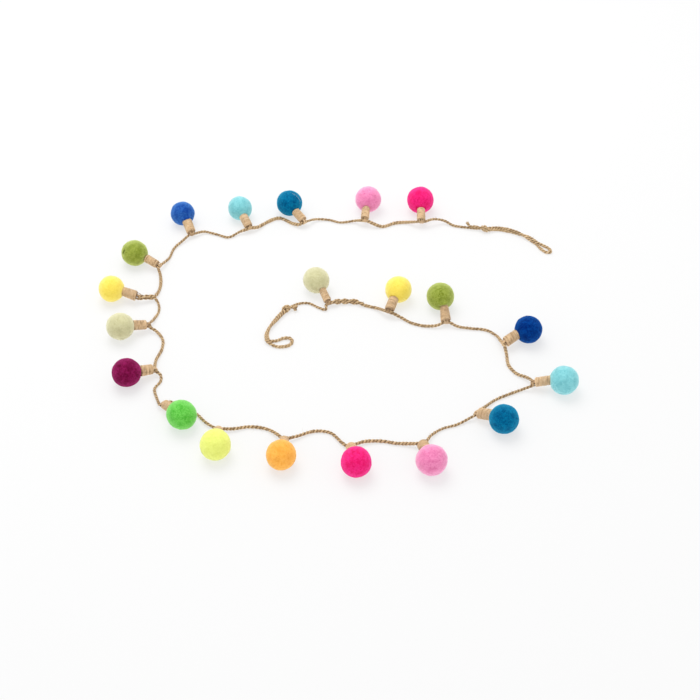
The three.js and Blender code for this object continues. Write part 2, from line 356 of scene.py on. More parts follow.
def evenly(line, step):
    """The same line with its points at even steps."""
    along = lengths_along(line)
    places = np.linspace(0, along[-1], max(2, round(along[-1] / step) + 1))
    return np.stack([np.interp(places, along, axis) for axis in line.T], axis=1)


def twisted_pair(way, twist, spread=0.0013, step=0.0024):
    """Points of two strands that wind round each other along a way, to the left as the plies do.

    twist is a list of shares of the way with the turns made by then. The second strand starts on
    the way's right and the first on its left.
    """
    line = curve_through(way, step)
    share = np.linspace(0, 1, len(line))
    angle = -2 * np.pi * evened(np.interp(share, *zip(*twist)), 5)[:, None]
    along = unit(np.gradient(line, axis=0))
    right = unit(np.cross(along, UP))
    rise = np.cross(right, along)
    offset = spread * (np.cos(angle) * right + np.sin(angle) * rise)
    return line - offset, line + offset


def end_loop(end):
    """From the cut tail through the knot, out along the doubled run, round the eye and back.

    In parts, each with how full the twine is there.
    """
    run = [place(point) for point in end["run"]]
    strands = twisted_pair(run, end["twist"])
    eye = [place(point) for point in end["eye"]]
    tail = [place(point) for point in end["tail"]]
    on_left = strands[0][-1] - run[-1]
    towards_eye = eye[0] - eye[-1]
    out, back = strands if on_left @ towards_eye > 0 else strands[::-1]
    cut, doubled, loop = end["fullness"]
    return [(tail[::-1], cut), (out, doubled), (eye, loop), (back[::-1], doubled)]


def across_hitch(bulb, before, after):
    """The twine's three points where it goes square across a neck's hitch."""
    forward = np.sign((after - before) @ bulb.across)
    shoulder = bulb.across * forward * TIE_HALF
    droop = bulb.axis * TIE_DROOP
    return [bulb.tie - shoulder + droop, bulb.tie, bulb.tie + shoulder + droop]


def up_the_stalk(bulb):
    """Out along bulb 7's stalk, round its hitch and back down."""
    top = bulb.tie + bulb.axis * TWINE_DIAMETER * STALK_TOP
    way = [place(STALK_FOOT), (place(STALK_FOOT) + top) / 2, top]
    back, out = twisted_pair(way, STALK_TWIST)
    return [*out, bulb.tie - bulb.axis * TWINE_DIAMETER * STALK_TURN, *back[::-1]]


def splice_strands(bulb):
    """The twine and the length that is twisted in with it, up to bulb 20's hitch."""
    way = [place(point) for point in SPLICE_WAY]
    way.append(bulb.tie + bulb.across * TIE_HALF * SPLICE_LEAD + bulb.axis * TIE_DROOP)
    return twisted_pair(way, SPLICE_TWIST, spread=SPLICE_SPREAD)


def twine_parts():
    """The twine's way from the tail at end A to the tail at end B, with how full it is."""
    parts = end_loop(END_A)
    parts.append(([place(point) for point in WAY_FROM_KNOT_A], FULLNESS[0]))
    for index, bulb in enumerate(BULBS):
        onward = WAYS[index] if index < len(WAYS) else WAY_TO_KNOT_B
        onward = [place(point) for point in onward]
        if bulb.seed == STALK_BULB:
            tied = up_the_stalk(bulb)
        else:
            spliced = list(splice_strands(bulb)[0]) if bulb.seed == SPLICE_BULB else []
            before = parts[-1][0][-1]
            tied = spliced + across_hitch(bulb, before, onward[0])
        parts += [(tied, FULLNESS[index]), (onward, FULLNESS[index + 1])]
    return parts + [(points[::-1], full) for points, full in end_loop(END_B)[::-1]]


def twine_and_fullness():
    """The whole twine's line and, at each of its points, how full it is."""
    parts = twine_parts()
    points = np.concatenate([np.array(points) for points, _ in parts])
    full = np.repeat([full for _, full in parts], [len(points) for points, _ in parts])
    line = twine_line(points)
    shares = lengths_along(points)
    full = np.interp(np.linspace(0, shares[-1], len(line)), shares, full)
    full = evened(full, FULLNESS_BLUR)
    along = lengths_along(line)
    for end, from_tip in ((END_A, along), (END_B, along[-1] - along)):
        full = full * (1 + (end["tip"] - 1) * np.exp(-((from_tip / TIP_REACH) ** 2)))
    return line, full


def on_end_loops(line):
    """1 on the twine's knotted end loops and 0 between them, at each point of its line."""
    along = lengths_along(line)
    from_end = np.minimum(along, along[-1] - along)
    return np.clip((END_LOOP_REACH - from_end) / END_LOOP_FADE, 0, 1)


def twine_line(points):
    """The smooth line of a twine, no lower than it can lie."""
    line = curve_through(points, TWINE_STEP)
    line[:, 2] = np.maximum(line[:, 2], TWINE_REST - CLEARANCE)
    return line


# Strands


def carried_frame(line):
    """For each point of a line, two square directions that turn with it and don't twist."""
    along = unit(np.gradient(line, axis=0))
    out = unit(np.cross(along[0], UP + 1e-6))
    outs = [out]
    for here in along[1:]:
        out = unit(out - here * (out @ here))
        outs.append(out)
    outs = np.array(outs)
    return outs, np.cross(along, outs)


def rings_round(line, out, radius, sides, widen=1.0):
    """Rings of points round a line or several; radius is one number a ring, or one a point.

    widen is how much wider than thick the rings are, square to out.
    """
    along = unit(np.gradient(line, axis=-2))
    out = unit(out - along * (out * along).sum(axis=-1, keepdims=True))
    side = np.cross(along, out)
    angle = 2 * np.pi * np.arange(sides)[:, None] / sides
    radius = np.asarray(radius)
    if radius.ndim < line.ndim:
        radius = radius[..., None]
    wheel = np.cos(angle) * out[..., None, :] + widen * np.sin(angle) * side[..., None, :]
    return line[..., None, :] + radius[..., None] * wheel


def wander(places, wavelength, rng):
    """A smooth random number from about -1 to 1 at each of these places along a strand."""
    total = np.zeros(len(places))
    for share in (1.0, 0.61, 0.37, 0.23):
        wave = 2 * np.pi * places / (wavelength * share)
        total += share * np.sin(wave + rng.uniform(0, 2 * np.pi))
    return total / 1.6


class Strands:
    """Thin closed tubes, gathered as rings of points and then made into one mesh."""

    def __init__(self):
        self.strands = []

    def add(self, rings, shade, inner=0.0):
        """shade goes from 0, dark, to 1, light, or 2, undyed; the last argument is painted shade, 1
        where the strand is hidden and painted darkest.
        """
        rings[..., 2] = np.maximum(rings[..., 2], CLEARANCE)
        along = lengths_along(rings.mean(axis=1))
        shade = np.broadcast_to(np.asarray(shade)[..., None], rings.shape[:2])
        self.strands.append((rings, along, shade, np.broadcast_to(inner, rings.shape[:2])))

    def mesh(self, name, bake_box, bake_rows):
        """One mesh of all the strands.

        The map "Strand" has metres along in u and the turn round in v. The map "OFBake" lays
        all strands end to end in a band that is folded into rows inside bake_box.
        """
        row_length = sum(along[-1] for _, along, _, _ in self.strands) / bake_rows
        faces, places, laid = [], [], []
        start, behind = 0, 0.0
        for rings, along, _, _ in self.strands:
            count, sides = rings.shape[:2]
            tube, corners = closed_tube(start, along, sides)
            faces += tube
            places.append(corners)
            laid.append(laid_in_rows(corners, behind, along, row_length, bake_rows))
            start += count * sides
            behind += along[-1]
        points, _, shades, painted_shades = zip(*self.strands)
        mesh = bpy.data.meshes.new(name)
        mesh.from_pydata(np.concatenate([rings.reshape(-1, 3) for rings in points]), [], faces)
        (left, bottom), (right, top) = bake_box
        laid = np.concatenate(laid) * (right - left, top - bottom) + (left, bottom)
        write_map(mesh, "Strand", np.concatenate(places))
        write_map(mesh, "OFBake", laid)
        write_numbers(mesh, "shade", np.concatenate([shade.reshape(-1) for shade in shades]))
        write_numbers(mesh, "inner", np.concatenate([inner.reshape(-1) for inner in painted_shades]))
        mesh.shade_smooth()
        return mesh


def closed_tube(start, along, sides):
    """A tube's faces, its points numbered from start, and each corner's place along and round."""
    index = start + np.arange(len(along) * sides).reshape(-1, sides)
    beside = np.roll(index, -1, axis=1)
    quads = np.stack([index[:-1], beside[:-1], beside[1:], index[1:]], axis=-1)
    turn = np.arange(sides) / sides
    u = np.stack([along[:-1], along[:-1], along[1:], along[1:]], axis=-1)
    v = np.stack([turn, turn + 1 / sides, turn + 1 / sides, turn], axis=-1)
    u = np.broadcast_to(u[:, None], quads.shape)
    v = np.broadcast_to(v[None], quads.shape)
    faces = [*quads.reshape(-1, 4).tolist(), index[0][::-1].tolist(), index[-1].tolist()]
    ends = [
        np.stack([np.full(sides, where), around], axis=1)
        for where, around in ((along[0], turn[::-1]), (along[-1], turn))
    ]
    return faces, np.concatenate([np.stack([u, v], axis=-1).reshape(-1, 2), *ends])


def laid_in_rows(corners, behind, along, row_length, row_count):
    """Where a tube's corners lie on a folded band that has this much length behind them."""
    sides = len(corners) // (4 * len(along) - 2)  # four corners a ring, but two at the ends
    rows = np.repeat((behind + along[:-1]) // row_length, 4 * sides)
    rows = np.concatenate([rows, np.full(sides, rows[0]), np.full(sides, rows[-1])])
    across = (behind + corners[:, 0]) / row_length - rows
    upward = (rows + 0.1 + 0.8 * corners[:, 1]) / row_count
    return np.stack([across.clip(0, 1), upward.clip(0, 1)], axis=1)


def write_map(mesh, name, places):
    layer = mesh.uv_layers.new(name=name)
    layer.uv.foreach_set("vector", places.astype(np.float32).ravel())


def write_numbers(mesh, name, numbers):
    attribute = mesh.attributes.new(name, "FLOAT", "POINT")
    attribute.data.foreach_set("value", numbers.astype(np.float32))


WHOLE_MAP = ((0.0, 0.0), (1.0, 1.0))
PLY_SIDES = 10
PLY_OUT = 0.49  # from the twine's middle to each ply's, and
PLY_RADIUS = 0.53  # how thick a ply is, both against the twine's radius
PLY_WIDEN = 1.12  # how much wider than thick a ply is, where it is pressed flat
PLY_CONTRAST = 0.34  # how much paler one ply is than the other


def lay_twine(strands, line, thickness, twist, rng, turn=0.0, pale=0.0, painted_groove_shade=1.0):
    """Two plies of twisted jute along a line, pressed flat against each other.

    thickness is one number, or one a point, and so are pale, which is how much paler than usual
    the jute is, and the groove's painted shade, how much darker the plies are painted where they
    meet and hide each other. twist is the length of a full turn.
    """
    along = lengths_along(line)
    radius = thickness / 2 * (1 + 0.05 * wander(along, 0.034, rng))
    line = line.copy()
    line[:, 2] = np.maximum(line[:, 2], 0.9 * radius)
    out, side = carried_frame(line)
    pull = 2 * np.pi * (turn - along / twist) + 0.6 * wander(along, 0.05, rng)
    theta = 2 * np.pi * np.arange(PLY_SIDES) / PLY_SIDES
    # Painted shade: the faces of each ply that turn in towards the other are painted darker
    painted_shade_mix = np.clip((0.76 - np.cos(theta)) / 0.72, 0, 1) * np.reshape(painted_groove_shade, (-1, 1))
    for ply in range(2):
        angle = (pull + ply * np.pi)[:, None]
        outward = np.cos(angle) * out + np.sin(angle) * side
        swell = radius * (1 + 0.07 * wander(along, 0.013, rng))
        rough = 1 + 0.11 * evened(rng.standard_normal((len(line), PLY_SIDES)), 5)
        centre = line + outward * (PLY_OUT * radius)[:, None]
        tone = pale + PLY_CONTRAST * (ply - 0.5)
        tone = tone + 0.14 * wander(along, 0.03, rng) + 0.1 * wander(along, 0.006, rng)
        thick = PLY_RADIUS * swell[:, None] * rough
        rings = rings_round(centre, outward, thick, PLY_SIDES, widen=PLY_WIDEN)
        strands.add(rings, shade=0.52 + tone, inner=painted_shade_mix)


HAIR_SIDES = 3
HAIR_TAPER = np.array((0.8, 1.0, 1.0, 0.95, 0.85, 0.7, 0.35))  # a hair's width at its points


def add_hairs(strands, roots, ways, outs, lengths, width, rng, shades):
    """Fine curling fibres that leave a strand at their roots. ways is how each one sets out."""
    count, steps = len(roots), len(HAIR_TAPER)
    heading = unit(ways)
    bend = rng.normal(0, 0.5, (count, 3))
    line = np.empty((count, steps, 3))
    line[:, 0] = roots
    for step in range(1, steps):
        bend += rng.normal(0, 0.35, (count, 3))
        heading = unit(heading + 0.3 * bend)
        line[:, step] = line[:, step - 1] + heading * (lengths / (steps - 1))[:, None]
    line[..., 2] = np.maximum(line[..., 2], 2 * CLEARANCE)
    radius = width / 2 * HAIR_TAPER * rng.uniform(0.7, 1.2, count)[:, None]
    rings = rings_round(line, np.repeat(outs[:, None], steps, axis=1), radius, HAIR_SIDES)
    for hair, shade in zip(rings, shades):
        strands.add(hair, shade)


def scatter_strays(strands, line, count, rng, reach=(0.0015, 0.0085), width=0.00008):
    """Stray jute fibres along a line of twine."""
    out, side = carried_frame(line)
    along = unit(np.gradient(line, axis=0))
    at = rng.integers(2, len(line) - 2, count)
    angle = rng.uniform(0, 2 * np.pi, count)[:, None]
    outward = np.cos(angle) * out[at] + np.sin(angle) * side[at]
    lean = rng.choice((-1.0, 1.0), count)[:, None]
    ways = along[at] * lean + outward * rng.uniform(0.25, 1.1, count)[:, None]
    roots = line[at] + outward * TWINE_DIAMETER * 0.42
    lengths = rng.uniform(*reach, count) * rng.uniform(0.5, 1.0, count)
    shades = rng.uniform(0.35, 0.95, count)
    add_hairs(strands, roots, ways, outward, lengths, width, rng, shades)


def fray(strands, tip, way, rng, count=60):
    """The loose fibres of a cut end."""
    way = unit(way)
    spread = rng.normal(0, 1, (count, 3))
    spread -= (spread @ way)[:, None] * way
    roots = tip - way * 0.0009 + unit(spread) * rng.uniform(0, 0.0015, count)[:, None]
    ways = way + 0.45 * spread
    lengths = rng.uniform(0.0012, 0.003, count)
    shades = rng.uniform(0.3, 0.8, count)
    add_hairs(strands, roots, ways, unit(spread), lengths, 0.00013, rng, shades)


# Node groups and materials


def add_node(tree, kind, inputs=(), **settings):
    """A node with its settings and inputs; an input is a number, a colour or another's output."""
    node = tree.nodes.new(kind)
    for name, value in settings.items():
        setattr(node, name, value)
    for name, value in dict(inputs).items():
        if isinstance(value, bpy.types.NodeSocket):
            tree.links.new(value, node.inputs[name])
        else:
            node.inputs[name].default_value = value
    return node


def maths(tree, operation, *values, clamp=False):
    node = add_node(
        tree, "ShaderNodeMath", enumerate(values), operation=operation, use_clamp=clamp
    )
    return node.outputs[0]


def ramp(tree, value, low, high):
    """value stretched so that low gives 0 and high gives 1."""
    node = add_node(
        tree, "ShaderNodeMapRange", {"Value": value, "From Min": low, "From Max": high},
        interpolation_type="SMOOTHSTEP",
    )
    return node.outputs["Result"]


def blend(tree, share, first, second, kind="MIX"):
    """Two colours mixed, by a share from 0 to 1."""
    node = add_node(
        tree, "ShaderNodeMix", {0: share, 6: first, 7: second}, data_type="RGBA", blend_type=kind
    )
    return node.outputs[2]


def noise_at(tree, places, scale, detail=3.0, roughness=0.55, distortion=0.0):
    node = add_node(
        tree, "ShaderNodeTexNoise",
        {
            "Vector": places, "Scale": scale, "Detail": detail, "Roughness": roughness,
            "Distortion": distortion,
        },
    )
    return node.outputs["Fac"]


def new_group(name, inputs, outputs):
    """A shader node group with these sockets, and its input and output nodes."""
    tree = bpy.data.node_groups.new(name, "ShaderNodeTree")
    for side, sockets in (("INPUT", inputs), ("OUTPUT", outputs)):
        for socket, kind in sockets.items():
            tree.interface.new_socket(name=socket, in_out=side, socket_type=kind)
    return tree, tree.nodes.new("NodeGroupInput"), tree.nodes.new("NodeGroupOutput")


# How fine the felt's features are, as the scales of its noises
TUFT_SCALE, PATCH_SCALE, STIR_SCALE = 560.0, 150.0, 520.0
MAT_SCALES = (1500.0, 2600.0)
STIR_REACH = 0.0022  # how far the mats are stirred out of their straight lines
UNDYED_WOOL = (0.66, 0.72, 0.76, 1.0)


def matted_lines(tree, places):
    """Fine stirred lines that cross every way: 1 along them and 0 between."""
    stir = add_node(
        tree, "ShaderNodeTexNoise", {"Vector": places, "Scale": STIR_SCALE, "Detail": 3.0}
    ).outputs["Color"]
    stirred = add_node(
        tree, "ShaderNodeVectorMath", {0: stir, 1: (STIR_REACH,) * 3}, operation="MULTIPLY"
    ).outputs[0]
    stirred = add_node(
        tree, "ShaderNodeVectorMath", {0: places, 1: stirred}, operation="ADD"
    ).outputs[0]
    mats = [
        add_node(
            tree, "ShaderNodeTexVoronoi", {"Vector": stirred, "Scale": scale},
            feature="DISTANCE_TO_EDGE",
        ).outputs["Distance"]
        for scale in MAT_SCALES
    ]
    return maths(tree, "MAXIMUM", *(ramp(tree, mat, 0.16, 0.0) for mat in mats))


def felt_group():
    """Felted wool: heathered fibres of one dye, matted so that they cross every way."""
    tree, given, made = new_group(
        "Felted wool",
        {"Wool": "NodeSocketColor", "Shade": "NodeSocketFloat", "Heather": "NodeSocketFloat"},
        {"Colour": "NodeSocketColor", "Height": "NodeSocketFloat"},
    )
    places = add_node(tree, "ShaderNodeTexCoord").outputs["Object"]
    tufts = noise_at(tree, places, TUFT_SCALE, detail=5.0, roughness=0.75, distortion=1.4)
    patches = noise_at(tree, places, PATCH_SCALE, detail=4.0, roughness=0.65, distortion=0.6)
    lines = matted_lines(tree, places)
    wool, shade, heather = (given.outputs[name] for name in ("Wool", "Shade", "Heather"))
    deep = add_node(tree, "ShaderNodeGamma", {"Color": wool, "Gamma": 1.35}).outputs[0]
    darker = blend(tree, 1.0, deep, (0.78, 0.78, 0.80, 1.0), "MULTIPLY")
    fresh = add_node(tree, "ShaderNodeGamma", {"Color": wool, "Gamma": 0.72}).outputs[0]
    lighter = blend(tree, 0.006, fresh, (1.0, 0.98, 0.96, 1.0))
    dark_share = maths(tree, "MULTIPLY", ramp(tree, tufts, 0.56, 0.30), heather, clamp=True)
    light_share = maths(
        tree, "MULTIPLY", maths(tree, "MULTIPLY", lines, ramp(tree, tufts, 0.35, 0.62)), heather,
        clamp=True,
    )
    colour = blend(tree, dark_share, wool, darker)
    colour = blend(tree, maths(tree, "MULTIPLY", light_share, 0.55), colour, lighter)
    patchy = maths(tree, "MULTIPLY", ramp(tree, patches, 0.40, 0.66), 0.45)
    patchy = maths(tree, "MULTIPLY", patchy, heather, clamp=True)
    colour = blend(tree, patchy, colour, darker)
    colour = blend(tree, ramp(tree, shade, 0.5, 1.0), colour, lighter)
    # Shade below 0.5 darkens the darker fibres; below 0 it is a crease's painted shade, which
    # darkens the colour further
    colour = blend(tree, ramp(tree, shade, 0.5, 0.0), colour, darker)
    colour = blend(tree, ramp(tree, shade, 0.0, -1.0), colour, darker, "MULTIPLY")
    colour = blend(tree, ramp(tree, shade, 1.0, 2.0), colour, UNDYED_WOOL)
    height = maths(tree, "ADD", maths(tree, "MULTIPLY", lines, 0.5), tufts)
    tree.links.new(colour, made.inputs["Colour"])
    tree.links.new(height, made.inputs["Height"])
    return tree


# The same for the jute, round a strand and over its places, with how stretched its fibres are
STREAK_SCALE, FINE_SCALE, WEAR_SCALE = 5.0, 13.0, 75.0
FIBRES_LENGTHWISE = 28.0


def jute_group():
    """Bast fibres that run along a strand and turn slowly round it."""
    tree, given, made = new_group(
        "Jute fibres",
        {
            "Pale": "NodeSocketColor", "Tan": "NodeSocketColor", "Brown": "NodeSocketColor",
            "Along": "NodeSocketFloat", "Around": "NodeSocketFloat", "Shade": "NodeSocketFloat",
            "Painted shade": "NodeSocketFloat", "Lay": "NodeSocketFloat",
        },
        {"Colour": "NodeSocketColor", "Height": "NodeSocketFloat"},
    )
    along, around = given.outputs["Along"], given.outputs["Around"]
    turned = maths(tree, "ADD", around, maths(tree, "MULTIPLY", along, given.outputs["Lay"]))
    angle = maths(tree, "MULTIPLY", turned, 2 * np.pi)
    on_strand = add_node(
        tree, "ShaderNodeCombineXYZ",
        {
            "X": maths(tree, "COSINE", angle), "Y": maths(tree, "SINE", angle),
            "Z": maths(tree, "MULTIPLY", along, FIBRES_LENGTHWISE),
        },
    ).outputs[0]
    streaks = noise_at(tree, on_strand, STREAK_SCALE, detail=4.0, roughness=0.65, distortion=0.3)
    fine = noise_at(tree, on_strand, FINE_SCALE, detail=2.0, roughness=0.6)
    places = add_node(tree, "ShaderNodeTexCoord").outputs["Object"]
    lengths = noise_at(tree, places, WEAR_SCALE, detail=3.0, roughness=0.6)
    pale = ramp(tree, maths(tree, "ADD", streaks, maths(tree, "MULTIPLY", fine, 0.35)), 0.62, 0.86)
    brown = ramp(tree, streaks, 0.47, 0.26)
    colour = blend(tree, pale, given.outputs["Tan"], given.outputs["Pale"])
    colour = blend(tree, maths(tree, "MULTIPLY", brown, 0.6), colour, given.outputs["Brown"])
    worn = blend(tree, ramp(tree, lengths, 0.34, 0.68), (0.86, 0.84, 0.82, 1), (1.1, 1.09, 1.08, 1))
    colour = blend(tree, 1.0, colour, worn, "MULTIPLY")
    shade = given.outputs["Shade"]
    light = maths(tree, "MULTIPLY", ramp(tree, shade, 0.5, 1.0), 0.6)
    dark = maths(tree, "MULTIPLY", ramp(tree, shade, 0.5, 0.0), 0.7)
    colour = blend(tree, light, colour, given.outputs["Pale"])
    colour = blend(tree, dark, colour, given.outputs["Brown"])
    # Painted shade: hidden faces, between the plies and under the yarn, are mixed towards brown
    painted_shade_mix = maths(tree, "MULTIPLY", given.outputs["Painted shade"], 0.92)
    colour = blend(tree, painted_shade_mix, colour, given.outputs["Brown"])
    height = maths(tree, "ADD", streaks, maths(tree, "MULTIPLY", fine, 0.5))
    tree.links.new(colour, made.inputs["Colour"])
    tree.links.new(height, made.inputs["Height"])
    return tree


def shared_group(name, make):
    return bpy.data.node_groups.get(name) or make()


def bare_material(name):
    """A new material with its Principled shader and nothing on it."""
    material = bpy.data.materials.new(name)
    material.use_nodes = True
    shader = material.node_tree.nodes["Principled BSDF"]
    return material, material.node_tree, shader


def set_inputs(node, values):
    for socket, value in values.items():
        node.inputs[socket].default_value = value


def number_on_mesh(tree, name):
    return add_node(tree, "ShaderNodeAttribute", attribute_name=name).outputs["Fac"]


def raise_surface(tree, shader, height, strength, distance):
    bump = add_node(
        tree, "ShaderNodeBump", {"Height": height, "Strength": strength, "Distance": distance}
    )
    tree.links.new(bump.outputs["Normal"], shader.inputs["Normal"])


# How strongly the darker and lighter fibres show in the paler dyes, and in all others
HEATHER = {
    "yellow": 0.6, "neon": 0.45, "sage": 0.6, "turquoise": 0.9, "orange": 0.85, "orchid": 1.1,
}
DEEP_HEATHER = 1.5

# How strongly a painted rim sheen, a paler colour painted where the felt turns away from the view,
# shows in each dye
PAINTED_RIM_SHEEN = {
    "hot_pink": 0.8, "orchid": 1.2, "teal": 0.75, "turquoise": 0.7, "royal": 0.75,
    "cobalt": 0.4, "olive": 1.1, "yellow": 1.2, "sage": 0.9, "plum": 0.4, "green": 0.9,
    "neon": 0.4, "orange": 0.6,
}
PAINTED_RIM_GAMMA, SHEEN_GAMMA = 0.45, 0.75  # how pale the painted rim sheen and the shader's sheen tint are against the dye


def felt_material(wool_name, colour):
    name = f"felt {wool_name}"
    if name in bpy.data.materials:
        return bpy.data.materials[name]
    material, tree, shader = bare_material(name)
    felt = add_node(tree, "ShaderNodeGroup", node_tree=shared_group("Felted wool", felt_group))
    heather = HEATHER.get(wool_name, DEEP_HEATHER)
    set_inputs(felt, {"Wool": (*colour, 1.0), "Heather": heather})
    shade = number_on_mesh(tree, "shade")
    tree.links.new(shade, felt.inputs["Shade"])
    # Painted highlight: the base colour turns paler where the felt turns away from the view, a
    # painted rim sheen besides the shader's own sheen
    aslant = add_node(tree, "ShaderNodeLayerWeight", {"Blend": 0.5}).outputs["Facing"]
    sheen = maths(tree, "MULTIPLY", maths(tree, "MULTIPLY", aslant, aslant), PAINTED_RIM_SHEEN[wool_name])
    # The painted rim sheen is left out where a crease's painted shade is
    sheen = maths(tree, "MULTIPLY", sheen, ramp(tree, shade, -1.0, 0.0))
    paler = (*(np.array(colour) + 0.002) ** PAINTED_RIM_GAMMA, 1.0)
    tree.links.new(blend(tree, sheen, felt.outputs["Colour"], paler), shader.inputs["Base Color"])
    raise_surface(tree, shader, felt.outputs["Height"], strength=0.55, distance=0.00022)
    set_inputs(shader, {
        "Roughness": 0.95, "Specular IOR Level": 0.02, "Sheen Weight": 0.6, "Sheen Roughness": 0.4,
        "Sheen Tint": (*np.array(colour) ** SHEEN_GAMMA, 1.0),
    })
    return material


def jute_material(name, pale, tan, brown, lay):
    """Jute in these colours; lay is how fast its fibres turn round the strand."""
    if name in bpy.data.materials:
        return bpy.data.materials[name]
    material, tree, shader = bare_material(name)
    on_strand = add_node(tree, "ShaderNodeUVMap", uv_map="Strand").outputs["UV"]
    split = add_node(tree, "ShaderNodeSeparateXYZ", {"Vector": on_strand})
    jute = add_node(tree, "ShaderNodeGroup", node_tree=shared_group("Jute fibres", jute_group))
    set_inputs(jute, {"Pale": (*pale, 1.0), "Tan": (*tan, 1.0), "Brown": (*brown, 1.0), "Lay": lay})
    for socket, source in (
        ("Along", split.outputs["X"]),
        ("Around", split.outputs["Y"]),
        ("Shade", number_on_mesh(tree, "shade")),
        ("Painted shade", number_on_mesh(tree, "inner")),
    ):
        tree.links.new(source, jute.inputs[socket])
    tree.links.new(jute.outputs["Colour"], shader.inputs["Base Color"])
    raise_surface(tree, shader, jute.outputs["Height"], strength=0.6, distance=0.00016)
    set_inputs(shader, {
        "Roughness": 0.82, "Specular IOR Level": 0.25, "Sheen Weight": 0.15, "Sheen Roughness": 0.5,
    })
    return material


def twine_material(jute):
    return jute_material("jute twine", jute.pale, jute.tan, jute.brown, lay=110.0)


def yarn_material(jute):
    return jute_material("jute yarn", jute.yarn_pale, jute.yarn_tan, jute.yarn_brown, lay=150.0)


# Finished pieces


def put(name, mesh, material, replaced=()):
    """Puts a mesh in the scene as a piece of the garland."""
    piece = bpy.data.objects.new(name, mesh)
    bpy.context.scene.collection.objects.link(piece)
    mesh.materials.append(material)
    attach(piece, "root")
    if replaced:
        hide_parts(*replaced)
    return piece


def knot_line(end):
    """Two and a bit slanting turns of twine, drawn tight over the start of a doubled run."""
    centre, onward = place(end["run"][0]), place(end["run"][1])
    centre = centre + UP * GAP
    along = unit((onward - centre) * (1, 1, 0))
    right = np.cross(along, UP)
    share = np.linspace(0, 1, 60)[:, None]
    angle = 2 * np.pi * KNOT_TURNS * (share - 0.12)
    reach = end["knot"] * KNOT_RADIUS * (1 - 0.6 * np.abs(2 * share - 1) ** 5)
    slant = KNOT_SLANT * np.cos(angle + 0.6)
    forward = end["knot"] * (KNOT_LENGTH * (share - 0.5) + slant)
    line = centre + along * forward
    line = line + reach * (np.cos(angle) * right + 0.94 * np.sin(angle) * UP)
    line[:, 2] = np.maximum(line[:, 2], TWINE_REST - 2 * CLEARANCE)
    return evenly(line, TWINE_STEP)


HITCH_LOOPS = np.linspace(-0.0019, 0.0021, 6)  # how far beside the tie each loop is
HITCH_RADIUS = 0.00042  # the drawn yarn's
HITCH_SIDES = 6
# A loop's way round the tie: how far out along the bulb, how much of the rise to the neck's middle
# line, and how far under
HITCH_WAY = [
    (-0.0040, 1.0, -0.0016), (-0.0021, 0.6, -0.0020), (0.0002, 0.0, -0.0021),
    (0.0018, 0.0, -0.0009), (0.0018, 0.0, 0.0009), (0.0002, 0.0, 0.0021),
    (-0.0021, 0.5, 0.0018), (-0.0040, 1.0, 0.0014),
]


def hitch_lines(bulb, rng):
    """The yarn's last turns, which go out of the neck's end, round the twine and back in."""
    to_neck = -bulb.under * TIE_DROP
    way = [bulb.axis * out + to_neck * rise + bulb.under * low for out, rise, low in HITCH_WAY]
    loops = []
    for offset in HITCH_LOOPS:
        stirred = np.array(way) + rng.normal(0, 0.00022, (len(way), 3))
        slant = rng.choice((-1.0, 1.0)) * rng.uniform(0.0005, 0.0016)
        shift = np.linspace(-1, 1, len(way))[:, None] * slant + offset
        loops.append(curve_through(bulb.tie + stirred + shift * bulb.across, 0.0005))
    return loops


YARN_SIDES = 7
YARN_STEPS = 22  # points in each turn of the neck's yarn
CLOSING_TURNS = 3  # the turns that lie across the neck's outer end

# How each neck differs: its width at the ball and at the outer end, against the usual one; how far
# it leans aside at the two, how much further out the winding goes, both in metres; and how pale
# its side and its outer end are, from 0 to 1. The outer end's darkness is partly its dark fibres
# and partly painted shade of the recess between the neck's end and the twine.
NECK_LOOKS = [
    ((0.97, 1.02), (0.0003, 0.0), 0.0016, 0.49, 0.6),
    ((0.96, 1.0), (-0.0007, 0.0), 0.0012, 0.5, 0.4),
    ((1.03, 1.03), (-0.0012, -0.0005), 0.0005, 0.52, 0.75),
    ((1.06, 1.02), (-0.0008, -0.0003), 0.0013, 0.69, 0.18),
    ((1.16, 1.1), (0.0009, 0.0003), 0.0008, 0.52, 0.3),
    ((0.99, 0.94), (0.0009, -0.0004), 0.0003, 0.48, 0.5),
    ((1.05, 1.2), (0.0010, -0.0008), 0.0, 0.48, 0.1),
    ((1.12, 1.06), (0.0006, 0.0005), 0.0001, 0.39, 0.2),
    ((1.2, 1.08), (-0.0005, 0.0003), 0.0001, 0.44, 0.75),
    ((1.03, 1.03), (0.0, 0.0), 0.0, 0.5, 0.4),
    ((0.97, 0.97), (0.0006, 0.0006), 0.0, 0.5, 0.4),
    ((0.98, 0.92), (0.0, 0.0), 0.0, 0.47, 0.3),
    ((1.12, 1.08), (-0.0004, -0.0004), 0.0, 0.5, 0.4),
    ((1.2, 1.2), (0.0006, 0.0006), 0.0, 0.4, 0.15),
    ((1.2, 1.18), (-0.0018, -0.0008), 0.0001, 0.65, 0.4),
    ((1.05, 1.03), (-0.0016, 0.0), 0.0008, 0.61, 0.25),
    ((1.13, 1.18), (-0.0012, 0.0009), 0.0006, 0.41, 0.6),
    ((0.94, 1.14), (0.0014, 0.0), 0.0017, 0.26, 0.75),
    ((1.08, 1.12), (-0.0005, -0.0004), 0.0014, 0.43, 0.05),
    ((0.84, 0.9), (0.0007, 0.0), 0.0006, 0.5, 0.1),
]


